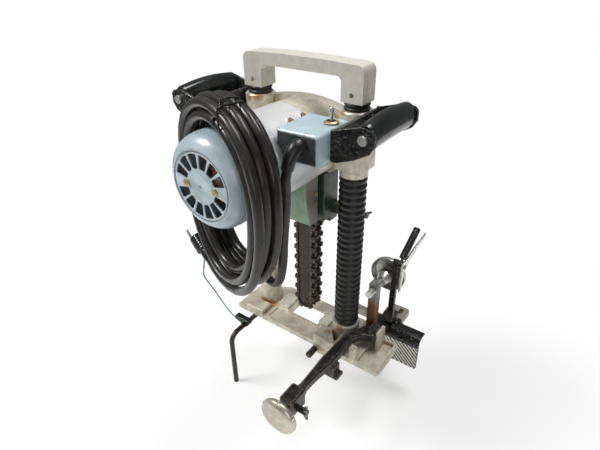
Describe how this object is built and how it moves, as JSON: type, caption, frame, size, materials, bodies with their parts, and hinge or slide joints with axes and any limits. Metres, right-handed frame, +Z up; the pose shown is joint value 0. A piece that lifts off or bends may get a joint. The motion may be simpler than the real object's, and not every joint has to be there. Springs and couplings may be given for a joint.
{
  "type": "chain mortiser",
  "caption": "Timber framing chain mortiser: a motor head with a hanging cutting chain slides on two columns of a cast base with a side lever, gauge rod and edge clamp.",
  "frame": {"origin": "on the plane of the base's underside, midway between the two columns' axes, where the machine sits on the timber", "axes": "+Z up along the columns; +X from the left column to the right one, with the side lever and clamp at +X; +Y from the motor's fan cover to the back"},
  "size_m": [0.3008, 0.311, 0.49],
  "materials": {
    "cast_aluminium": "sand-cast, speckled and stained",
    "hammered_paint": "silver-cream hammered paint with rust stains",
    "blue_paint": "powder-blue paint, worn edges",
    "black_paint": "black enamel worn to steel at the edges",
    "green_paint": "pale green paint, rusty edges",
    "dark_green_paint": "dark green paint",
    "bright_steel": "bright turned steel",
    "worn_steel": "worn steel",
    "dark_steel": "blackened, slightly rusty steel",
    "brass": "dull brass",
    "black_rubber": "matt black rubber",
    "cord_rubber": "smooth brown-black sheath",
    "black_plastic": "glossy black plastic",
    "copper": "copper windings and orange dust",
    "green_plastic": "green sheath",
    "column_coating": "cream coated steel"
  },
  "bodies": {
    "frame": {"base_casting": "cast_aluminium", "left_wear_block": "worn_steel", "right_wear_block": "worn_steel", "left_column": "column_coating", "right_column": "worn_steel", "carry_handle": "cast_aluminium", "left_bumper": "black_rubber", "right_bumper": "black_rubber", "bellows": "black_rubber", "return_spring": "worn_steel", "vise_post": "dark_steel", "earth_clip": "black_plastic", "earth_wire": "green_plastic"},
    "head": {"head_casting": "hammered_paint", "motor_barrel": "hammered_paint", "barrel_screw_front": "copper", "barrel_screw_rear": "copper", "field_core": "copper", "front_bearing": "worn_steel", "rear_bearing": "worn_steel", "fan_cover": "blue_paint", "fan_screw_left": "brass", "fan_screw_right": "brass", "switch_box": "blue_paint", "switch_nut": "brass", "cord_gland": "black_rubber", "case_front": "green_paint", "case_rear": "dark_green_paint", "case_screw_upper": "brass", "case_screw_lower": "brass", "guide_bar": "dark_steel", "cutting_chain": "dark_steel", "left_bracket": "black_paint", "right_bracket": "black_paint", "left_grip": "black_plastic", "right_grip": "black_plastic", "left_grip_bolt": "bright_steel", "right_grip_bolt": "bright_steel", "cord_tail": "cord_rubber", "cord_coil": "cord_rubber", "cord_tie": "black_plastic", "plug": "black_plastic"},
    "depth_wing": {"depth_wing_screw": "black_paint"},
    "rotor": {"armature": "worn_steel", "cooling_fan": "copper", "drive_sprocket": "worn_steel"},
    "toggle": {"toggle_lever": "bright_steel"},
    "depth_stop": {"depth_rod": "worn_steel"},
    "lever": {"shift_arm": "black_paint"},
    "arm_wing": {"arm_wing_screw": "black_paint"},
    "knob": {"shift_knob": "bright_steel"},
    "gauge": {"gauge_rod": "dark_steel"},
    "vise": {"vise_carriage": "worn_steel", "vise_upright": "black_paint", "guide_rod": "dark_steel", "jaw_plate": "cast_aluminium", "jaw_cover": "black_paint"},
    "spindle": {"vise_screw": "bright_steel"},
    "lock": {"lock_lever": "black_paint"},
    "release": {"release_lever": "bright_steel"}
  },
  "joints": [
    {"name": "head_slide", "type": "slide", "parent": "frame", "child": "head", "axis": [0, 0, 1], "range_m": [-0.15, 0], "stiffness_N_per_m": 1200, "springref_m": 0.11, "deforming": ["bellows", "return_spring", "earth_wire"]},
    {"name": "rotor_spin", "type": "hinge", "parent": "head", "child": "rotor", "pos_m": [0, -0.05, 0.305], "axis": [0, 1, 0], "continuous": true},
    {"name": "toggle_tilt", "type": "hinge", "parent": "head", "child": "toggle", "pos_m": [0.0765, -0.064, 0.348], "axis": [1, 0, 0], "range_deg": [-12, 12]},
    {"name": "depth_stop_slide", "type": "slide", "parent": "head", "child": "depth_stop", "axis": [0, 0, 1], "range_m": [0, 0.05]},
    {"name": "depth_wing_turn", "type": "hinge", "parent": "head", "child": "depth_wing", "pos_m": [0.0645, 0.029, 0.203], "axis": [1, 0, 0], "range_deg": [-90, 90]},
    {"name": "lever_lift", "type": "hinge", "parent": "frame", "child": "lever", "pos_m": [0.107, 0.006, 0.036], "axis": [-1, 0, 0], "range_deg": [0, 50]},
    {"name": "knob_spin", "type": "hinge", "parent": "lever", "child": "knob", "pos_m": [0.087, -0.174, 0.0385], "axis": [0, 1, 0], "continuous": true},
    {"name": "arm_wing_turn", "type": "hinge", "parent": "lever", "child": "arm_wing", "pos_m": [0.096, -0.152, 0.0292], "axis": [1, 0, 0], "range_deg": [-90, 90]},
    {"name": "gauge_slide", "type": "slide", "parent": "frame", "child": "gauge", "axis": [0, 1, 0], "range_m": [-0.03, 0.012]},
    {"name": "vise_slide", "type": "slide", "parent": "frame", "child": "vise", "axis": [0, 1, 0], "range_m": [-0.006, 0.018]},
    {"name": "spindle_turn", "type": "hinge", "parent": "vise", "child": "spindle", "pos_m": [0.1, 0.058, 0.101], "axis": [0, 1, 0], "range_deg": [-860, 2590]},
    {"name": "lock_swing", "type": "hinge", "parent": "vise", "child": "lock", "pos_m": [0.1185, 0.0525, 0.128], "axis": [1, 0, 0], "range_deg": [0, 20]},
    {"name": "release_squeeze", "type": "hinge", "parent": "vise", "child": "release", "pos_m": [0.123, 0.0525, 0.128], "axis": [1, 0, 0], "range_deg": [0, 3]}
  ],
  "couplings": [
    {"joint": "vise_slide", "follows": "spindle_turn", "m_per_rad": 0.00039789}
  ]
}
